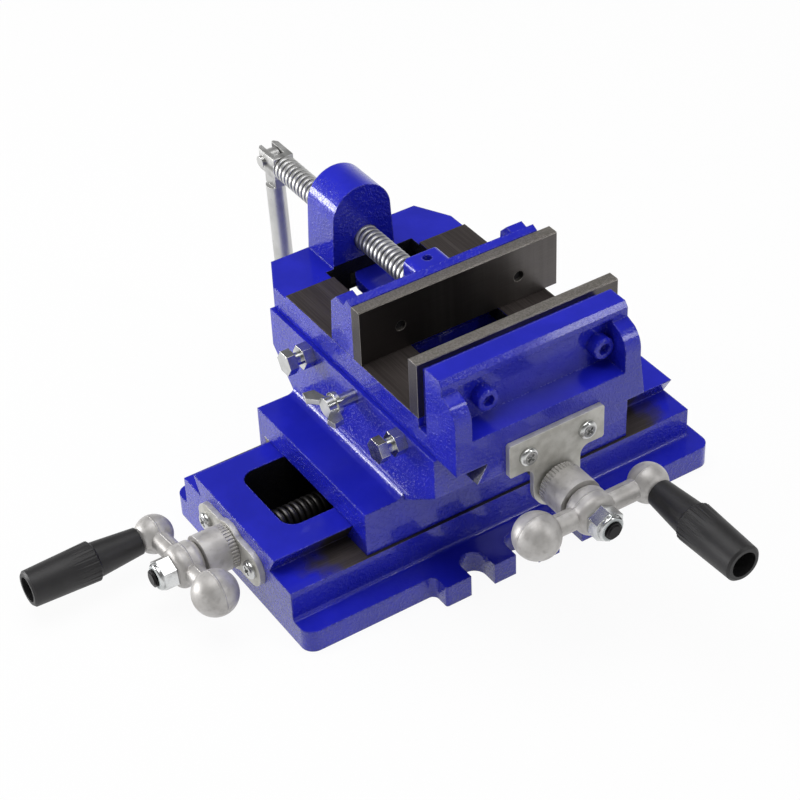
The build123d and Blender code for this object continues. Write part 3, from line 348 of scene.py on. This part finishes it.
# %% Ground steel
def ground_steel():
    surface = Surface("ground_steel")
    rounded = surface.rounded(0.35)
    near_edge = surface.near_edge(rounded, 0.12)
    scratch = surface.noise(0.16, 1.0, (0.008, 1, 1))
    upright = surface.noise(2.2, 2.0, (1, 1, 0.03))
    # Tone bands along the plate, shifted into place: partly wheel passes, partly a painted reflection band.
    passes_and_painted_band = surface.noise(34, 1.0, (1, 1, 0.15), (0.013, 0, 0))
    tone = (passes_and_painted_band * 0.80 + upright * 0.10 + scratch * 0.10).rise(0.40, 0.75)
    colour = surface.blend(tone, (0.065, 0.058, 0.056, 1), (0.150, 0.139, 0.133, 1))
    colour = surface.blend(near_edge * 0.7, colour, (0.55, 0.52, 0.47, 1))
    # The top face is made paler than the front, with lighter specks on it.
    top = surface.facing_up.rise(0.6, 0.9)
    pale_specks = surface.noise(0.7, 3.0).rise(0.40, 0.62)
    colour = surface.blend(top * 0.8, colour, (0.27, 0.25, 0.225, 1))
    colour = surface.blend(top * pale_specks * 0.35, colour, (0.50, 0.47, 0.43, 1))
    return surface.finish(
        Base_Color=colour,
        Metallic=0.85,
        Roughness=0.30 + scratch * 0.06,
        Normal=surface.bump(scratch, 0.07, rounded),
    )


give(ground_steel(), "ground_steel", "fixed_jaw_plate", "moving_jaw_plate")

# %% [markdown]
# ## Cast aluminium cranks and dials
# The cranks are die cast: a fine matt skin that is neither rough nor polished, faint flow marks, and a
# thin raised line where the two halves of the die met. The line is a bump that follows one plane
# through the crank, so it crosses ball, arm and hub alike.


# %% Cast aluminium
def cast_aluminium(name, seam=None):
    """Die-cast metal; seam is an axis and the place in mm where the die's halves met."""
    surface = Surface(name)
    rounded = surface.rounded(0.5)
    skin = surface.noise(0.6, 3.0)
    flow = surface.noise(7, 4.0)
    near_edge = surface.near_edge(rounded, 0.15)
    grime = surface.noise(3.0, 5.0).rise(0.50, 0.72)
    colour = surface.blend(flow.rise(0.35, 0.65), (0.42, 0.405, 0.39, 1), (0.53, 0.515, 0.50, 1))
    colour = surface.blend(grime * 0.30, colour, (0.20, 0.185, 0.175, 1))
    colour = surface.blend(near_edge * 0.4, colour, (0.78, 0.77, 0.75, 1))
    height = skin * 0.45 + flow * 0.6
    if seam is not None:
        axis, place = seam
        off = (getattr(surface, axis) - place).size()
        height = height + off.rise(0.55, 0.15) * 2.2
    return surface.finish(
        Base_Color=colour,
        Metallic=0.45,
        Roughness=0.40 + skin * 0.14,
        Normal=surface.bump(height, 0.10, rounded),
    )


give(cast_aluminium("cast_aluminium"), "cast_aluminium", "x_dial", "y_dial")
give(cast_aluminium("cast_aluminium_x", ("x", -129.5)), "cast_aluminium", "x_crank")
give(cast_aluminium("cast_aluminium_y", ("y", -109.5)), "cast_aluminium", "y_crank")

# %% [markdown]
# ## Plated steel
# The bracket plates are punched from sheet and dull plated, with small pits and brighter edges. Screws,
# nuts and bolts have the brighter, slightly uneven plating of bought fasteners, and those behind the
# moving jaw are blackened. The handle has a satin plating, and only the pin that it hangs from is chromed.


# %% Plated steel
def plated(name, dark, light, roughness, pit_depth, period_mm, metallic=0.9):
    surface = Surface(name)
    rounded = surface.rounded(0.3)
    near_edge = surface.near_edge(rounded, 0.15)
    cloud = surface.noise(period_mm * 4, 4.0)
    pits = surface.noise(period_mm, 3.0)
    pit_colour = tuple(part * 0.5 for part in dark[:3]) + (1,)
    colour = surface.blend(cloud.rise(0.35, 0.65), dark, light)
    colour = surface.blend(pits.rise(0.62, 0.74) * 0.3, colour, pit_colour)
    colour = surface.blend(near_edge * 0.5, colour, (0.82, 0.81, 0.78, 1))
    return surface.finish(
        Base_Color=colour,
        Metallic=metallic,
        Roughness=roughness + pits * 0.15,
        Normal=surface.bump(pits + cloud * 0.5, pit_depth, rounded),
    )


bracket_zinc = plated("bracket_zinc", (0.50, 0.49, 0.45, 1), (0.62, 0.61, 0.57, 1),
                      roughness=0.40, pit_depth=0.07, period_mm=1.2, metallic=0.55)
bright_zinc = plated("bright_zinc", (0.50, 0.505, 0.50, 1), (0.64, 0.645, 0.64, 1),
                     roughness=0.16, pit_depth=0.006, period_mm=2.0, metallic=1.0)
blackened = plated("blackened", (0.012, 0.012, 0.013, 1), (0.02, 0.02, 0.022, 1),
                   roughness=0.45, pit_depth=0.02, period_mm=2.0, metallic=0.4)
chrome = plated("chrome", (0.55, 0.55, 0.54, 1), (0.68, 0.68, 0.67, 1),
                roughness=0.12, pit_depth=0.008, period_mm=3.0, metallic=1.0)
satin_steel = plated("satin_steel", (0.50, 0.50, 0.49, 1), (0.60, 0.60, 0.59, 1),
                     roughness=0.26, pit_depth=0.006, period_mm=3.0, metallic=0.8)
give(bracket_zinc, "bracket_steel", "x_bracket_plate", "y_bracket_plate")
give(bright_zinc, "zinc_fastener", "x_bracket_screws", "y_bracket_screws", "y_gib_bolts", "y_gib_lock_nuts",
     "x_gib_bolts", "x_gib_lock_nuts", "wing_bolt", "x_grip_bolt", "y_grip_bolt", "keeper_bolts", "screw_retainer")
give(blackened, "zinc_fastener", "moving_jaw_screws")
give(chrome, "bright_steel", "handle_pin")
give(satin_steel, "bright_steel", "clamp_handle")

# %% [markdown]
# ## Lock nuts with a nylon ring
# The nuts on the cranks are self-locking. A pale nylon ring is pressed into the crown around the screw,
# and grips its thread. The ring is a distance from the screw's axis, so the same plating with a second
# colour inside that distance does it.


# %% Self-locking nut
def lock_nut(name, across, centre, along, crown):
    """Plating with a nylon ring beyond the crown, which is a place along the screw."""
    surface = Surface(name)
    rounded = surface.rounded(0.3)
    cloud = surface.noise(5, 3.0)
    ring = surface.from_axis(across, centre).rise(5.35, 5.15) * (getattr(surface, along) < crown)
    colour = surface.blend(cloud.rise(0.35, 0.65), (0.52, 0.53, 0.53, 1), (0.70, 0.71, 0.71, 1))
    colour = surface.blend(ring, colour, (0.62, 0.66, 0.66, 1))
    return surface.finish(
        Base_Color=colour,
        Metallic=0.92 - ring * 0.92,
        Roughness=0.18 + ring * 0.25,
        Normal=surface.bump(cloud, 0.02, rounded),
    )


give(lock_nut("x_lock_nut", "y", X_SCREW_AXIS, "x", -141), "zinc_fastener", "x_lock_nut")
give(lock_nut("y_lock_nut", "x", Y_SCREW_AXIS, "y", -121), "zinc_fastener", "y_lock_nut")

# %% [markdown]
# ## Black plastic grips
# The grips are moulded in a satin black plastic. The flutes are in the solids, and the moulding texture is
# a fine noise that only breaks up the sheen.


# %% Plastic
def satin_plastic():
    surface = Surface("black_plastic")
    rounded = surface.rounded(0.35)
    spark = surface.noise(0.5, 3.0)
    cloud = surface.noise(9, 3.0)
    near_edge = surface.near_edge(rounded, 0.15)
    colour = surface.blend(cloud.rise(0.3, 0.7), (0.007, 0.0065, 0.007, 1), (0.012, 0.011, 0.012, 1))
    colour = surface.blend(near_edge * 0.5, colour, (0.030, 0.028, 0.029, 1))
    return surface.finish(
        Base_Color=colour,
        Roughness=0.40 + spark * 0.2,
        Normal=surface.bump(spark * 0.5 + cloud * 0.4, 0.05, rounded),
    )


give(satin_plastic(), "black_plastic", "x_grip", "y_grip")

# %% [markdown]
# ## Iron nuts and steel gibs inside
# Little of the feed nuts and gib strips shows, but they are seen from below and at the ends of the ways.

# %% Hidden iron and gib steel
hidden_iron = plated("machined_iron", (0.13, 0.125, 0.12, 1), (0.20, 0.19, 0.185, 1),
                     roughness=0.42, pit_depth=0.04, period_mm=1.2)
gib_steel = plated("gib_steel", (0.20, 0.19, 0.185, 1), (0.31, 0.30, 0.29, 1),
                   roughness=0.34, pit_depth=0.02, period_mm=1.0)
give(hidden_iron, "nut_iron", "x_feed_nut", "y_feed_nut")
give(gib_steel, "gib_steel", "y_gib", "x_gib")

# %% [markdown]
# ## Threads
# A thread is a ridge that climbs one pitch in each turn. Sweeping one pitch of its outline around the
# axis, and moving it along by one pitch a turn, makes exactly that: the top of each turn lands on the
# foot of the next, and merging the doubles closes the surface. The spin operator takes that shift as
# dvec. Two cuts trim the ends square, and the holes that they leave are filled.

# %% Tools for turned and threaded parts
AXIS = {"cent": (0, 0, 0), "axis": (0, 0, 1)}
SAME_POINT = 0.002 * MM


def draw_outline(mesh, outline):
    """Draws a line through points of (radius, height), in mm, and gives its parts for a spin."""
    points = [mesh.verts.new((radius * MM, 0, height * MM)) for radius, height in outline]
    return points + [mesh.edges.new(pair) for pair in zip(points, points[1:])]


def lathe(mesh, outline, steps=48):
    """Turns an outline about local Z."""
    drawn = draw_outline(mesh, outline)
    bmesh.ops.spin(mesh, geom=drawn, angle=2 * math.pi, steps=steps, use_merge=True, **AXIS)
    bmesh.ops.remove_doubles(mesh, verts=mesh.verts, dist=SAME_POINT)


def thread(mesh, crest, root, pitch, low, high, steps=36):
    """A right-hand thread between two heights, in mm."""
    turns = math.ceil((high - low) / pitch) + 2
    near_crest = crest * 0.85 + root * 0.15
    one_pitch = [(root, 0), (root, 0.06), (near_crest, 0.22), (crest, 0.36),
                 (crest, 0.64), (near_crest, 0.78), (root, 0.94), (root, 1)]
    drawn = draw_outline(mesh, [(radius, low + (share - 1.5) * pitch) for radius, share in one_pitch])
    climb = (0, 0, pitch * MM / steps)
    bmesh.ops.spin(mesh, geom=drawn, dvec=climb, angle=2 * math.pi * turns, steps=steps * turns, **AXIS)
    bmesh.ops.remove_doubles(mesh, verts=mesh.verts, dist=SAME_POINT)
    for height, side in ((low, -1), (high, 1)):
        parts = mesh.verts[:] + mesh.edges[:] + mesh.faces[:]
        plane = {"plane_co": (0, 0, height * MM), "plane_no": (0, 0, side)}
        cut = bmesh.ops.bisect_plane(mesh, geom=parts, clear_outer=True, **plane)
        rim = [item for item in cut["geom_cut"] if isinstance(item, bmesh.types.BMEdge)]
        bmesh.ops.triangle_fill(mesh, edges=rim, use_beauty=True)


def join(mesh, part):
    """Adds one bmesh to another and frees it."""
    data = bpy.data.meshes.new("part")
    part.to_mesh(data)
    part.free()
    mesh.from_mesh(data)
    bpy.data.meshes.remove(data)


def piece_of(mesh, name, body, place):
    """Makes an object of a bmesh that was drawn about local Z, and puts its place in its mesh."""
    bmesh.ops.recalc_face_normals(mesh, faces=mesh.faces)
    mesh.transform(place)
    data = bpy.data.meshes.new(name)
    mesh.to_mesh(data)
    mesh.free()
    data.shade_smooth()
    data.set_sharp_from_angle(angle=math.radians(38))
    piece = bpy.data.objects.new(name, data)
    bpy.context.scene.collection.objects.link(piece)
    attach(piece, body)
    print(name, "has", len(data.polygons), "faces")
    return piece


def facing_along(direction, origin_mm):
    """Turns local Z to a direction and moves the origin, keeping a right-hand thread right-handed."""
    turn = Vector((0, 0, 1)).rotation_difference(Vector(direction)).to_matrix().to_4x4()
    return Matrix.Translation(Vector(origin_mm) * MM) @ turn


# %% [markdown]
# ## The lead screws
# Behind the thread each screw has a collar that takes the push, a journal in the bracket plate, and a
# spindle for the dial and crank. The tail that sticks out of the lock nut is blackened, with the last
# turns of its thread showing. Heights are in mm from the bracket plate, and grow towards the crank.


# %% Lead screws
def lead_screw(name, body, place, thread_end, journal_end, tail_end):
    mesh = bmesh.new()
    thread(mesh, SCREW_RADIUS, 4.6, SCREW_PITCH, thread_end, -4.3)
    turned = bmesh.new()
    collar = [(0, -4.6), (5.0, -4.6), (5.0, -4.1), (8.2, -4.1), (8.5, -3.8), (8.5, -0.4), (8.2, -0.1), (5.0, -0.1)]
    spindle = [(5.0, journal_end), (3.95, journal_end), (3.95, tail_end - 8), (0, tail_end - 8)]
    lathe(turned, collar + spindle)
    join(mesh, turned)
    tail = bmesh.new()
    thread(tail, 3.95, 3.35, 1.25, tail_end - 8.5, tail_end - 0.5, 28)
    lathe(tail, [(0, tail_end - 0.8), (3.3, tail_end - 0.8), (2.9, tail_end), (0, tail_end)], 28)
    join(mesh, tail)
    return piece_of(mesh, name, body, place)


x_low, x_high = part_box("x_lead_screw")
y_low, y_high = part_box("y_lead_screw")
x_place = facing_along((-1, 0, 0), (X_PLATE_FACE, *X_SCREW_AXIS))
y_place = facing_along((0, -1, 0), (Y_SCREW_AXIS[0], Y_PLATE_FACE, Y_SCREW_AXIS[1]))
x_screw = lead_screw("x_screw_thread", "x_screw", x_place, X_PLATE_FACE - x_high.x / MM, 2.7,
                     X_PLATE_FACE - x_low.x / MM)
y_screw = lead_screw("y_screw_thread", "y_screw", y_place, Y_PLATE_FACE - y_high.y / MM, 4.2,
                     Y_PLATE_FACE - y_low.y / MM)
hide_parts("x_lead_screw")
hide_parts("y_lead_screw")


# %% Turned steel, blackened at the tail
def turned_steel(name, across, centre, dull, bright, tail=None):
    """Turned steel, darker below the crests; tail is an axis and the place where it turns black."""
    surface = Surface(name)
    rounded = surface.rounded(0.2)
    rings = surface.noise(0.4, 2.0)
    film = surface.noise(6, 4.0)
    crest = surface.from_axis(across, centre).rise(5.1, 5.75)
    colour = surface.blend(film.rise(0.35, 0.65), dull, bright)
    colour = surface.blend((1 - crest) * 0.85, colour, (0.022, 0.021, 0.021, 1))
    if tail is not None:
        axis, place = tail
        black = getattr(surface, axis).rise(place + 0.5, place)
        colour = surface.blend(black, colour, (0.018, 0.017, 0.018, 1))
    return surface.finish(
        Base_Color=colour,
        Metallic=0.85,
        Roughness=0.32 + rings * 0.12,
        Normal=surface.bump(rings, 0.01, rounded),
    )


greased = ((0.045, 0.043, 0.042, 1), (0.11, 0.105, 0.10, 1))
x_steel = turned_steel("thread_steel_x", "y", X_SCREW_AXIS, *greased, ("x", -137))
y_steel = turned_steel("thread_steel_y", "x", Y_SCREW_AXIS, *greased, ("y", -117))
give(x_steel, "thread_steel", x_screw)
give(y_steel, "thread_steel", y_screw)

# %% [markdown]
# ## The clamp screw
# The clamp screw has the same pitch, cut a little less deep, and ends in a flat fork for the handle's
# pin. The fork is a U drawn once and extruded, with its edges broken.

# %% Clamp screw
mesh = bmesh.new()
thread(mesh, SCREW_RADIUS, 4.9, SCREW_PITCH, 0.1, 115.2)
journal = bmesh.new()
lathe(journal, [(0, -13), (4.2, -13), (4.5, -12.7), (4.5, 0.4), (0, 0.4)])
join(mesh, journal)
fork = bmesh.new()
half_width = 5.5
fork_outline = [(-5.3, 115), (5.3, 115), (5.3, 128.5), (3.9, 130.5), (2.6, 130.5), (2.6, 118.5),
                (-2.6, 118.5), (-2.6, 130.5), (-3.9, 130.5), (-5.3, 128.5)]
corners = [fork.verts.new((x * MM, -half_width * MM, z * MM)) for x, z in fork_outline]
cheek = fork.faces.new(corners)
grown = bmesh.ops.extrude_face_region(fork, geom=[cheek])
far_side = [item for item in grown["geom"] if isinstance(item, bmesh.types.BMVert)]
bmesh.ops.translate(fork, verts=far_side, vec=(0, 2 * half_width * MM, 0))
bmesh.ops.bevel(fork, geom=fork.edges[:], offset=0.35 * MM, segments=2, profile=0.5, affect="EDGES", material=-1)
join(mesh, fork)
clamp_place = facing_along((0, 1, 0), (CLAMP_SCREW_AXIS[0], 9, CLAMP_SCREW_AXIS[1]))
clamp_screw = piece_of(mesh, "clamp_screw_thread", "clamp", clamp_place)
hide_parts("clamp_screw")
clamp_steel = turned_steel("clamp_steel", "x", CLAMP_SCREW_AXIS, (0.42, 0.42, 0.41, 1), (0.60, 0.60, 0.59, 1))
give(clamp_steel, "bright_steel", clamp_screw)

# %% [markdown]
# ## Floor, room and lamps
# A studio for a white page: the floor shows the camera almost pure white and keeps a faint shadow. The
# room is white to the camera. To reflections it is pale near the horizon and darker overhead, and as a
# light it is dim, so that it doesn't flatten the vise. A lamp behind and to the left gives the enamel its
# pale sheen on the left walls and the sparks along their edges, a big one overhead fills the tops, and a
# narrow strip at the front right lights the faces that turn to it.


# %% Floor
def rays(start):
    """Masks for rays from the camera, from a glossy surface, and through a clear one."""
    kinds = ("Camera", "Glossy", "Transmission")
    return [start.node("ShaderNodeLightPath", out="Is " + kind + " Ray") for kind in kinds]


floor_mesh = bmesh.new()
bmesh.ops.create_grid(floor_mesh, x_segments=1, y_segments=1, size=4)
floor_data = bpy.data.meshes.new("floor")
floor_mesh.to_mesh(floor_data)
floor_mesh.free()
floor = bpy.data.objects.new("floor", floor_data)
bpy.context.scene.collection.objects.link(floor)
floor.location.z = -0.0003
paper = Surface("paper_floor")
from_camera, from_gloss, through_clear = rays(paper.start)
sight = from_camera.maths("MAXIMUM", from_gloss).maths("MAXIMUM", through_clear)
diffuse = paper.start.node("ShaderNodeBsdfDiffuse", {}, {"Color": (0.86, 0.86, 0.86, 1)})
glow = paper.start.node("ShaderNodeEmission", {}, {"Color": WHITE, "Strength": 1.0})
seen = paper.start.node("ShaderNodeMixShader", {}, {0: sight * 0.94, 1: diffuse, 2: glow})
paper.start.node("ShaderNodeOutputMaterial", {}, {"Surface": seen})
floor_data.materials.append(paper.material)

# %% Room
room = bpy.data.worlds.new("room")
bpy.context.scene.world = room
room.use_nodes = True
room.node_tree.nodes.clear()
air = Field(room.node_tree)
height = air.node("ShaderNodeTexCoord", out="Generated").part(2)
from_camera, from_gloss, through_clear = rays(air)
shown = from_camera.maths("MAXIMUM", through_clear)
mirrored = from_gloss * (0.80 - height.rise(0.02, 0.60) * 0.64)
dim = (1 - shown) * (1 - from_gloss) * 0.34
strength = shown + (1 - shown) * mirrored + dim
light = air.node("ShaderNodeBackground", {}, {"Color": WHITE, "Strength": strength})
air.node("ShaderNodeOutputWorld", {}, {"Surface": light})


# %% Lamps
def lamp(name, place, aim, size, power):
    light = bpy.data.lights.new(name, "AREA")
    light.shape = "RECTANGLE"
    light.size, light.size_y = size
    light.energy = power
    item = bpy.data.objects.new(name, light)
    bpy.context.scene.collection.objects.link(item)
    item.location = place
    item.rotation_euler = (Vector(aim) - Vector(place)).to_track_quat("-Z", "Y").to_euler()
    print(name, "gives", power, "W")


lamp("left_window", place=(-0.85, 0.72, 0.20), aim=(0, 0, 0.05), size=(0.46, 0.28), power=7.5)
lamp("ceiling", place=(-0.1, 0.1, 1.1), aim=(0, 0, 0.05), size=(0.9, 0.9), power=8.0)
lamp("front_strip", place=(0.57, -0.85, 0.75), aim=(0, 0, 0.08), size=(0.10, 0.7), power=2.4)
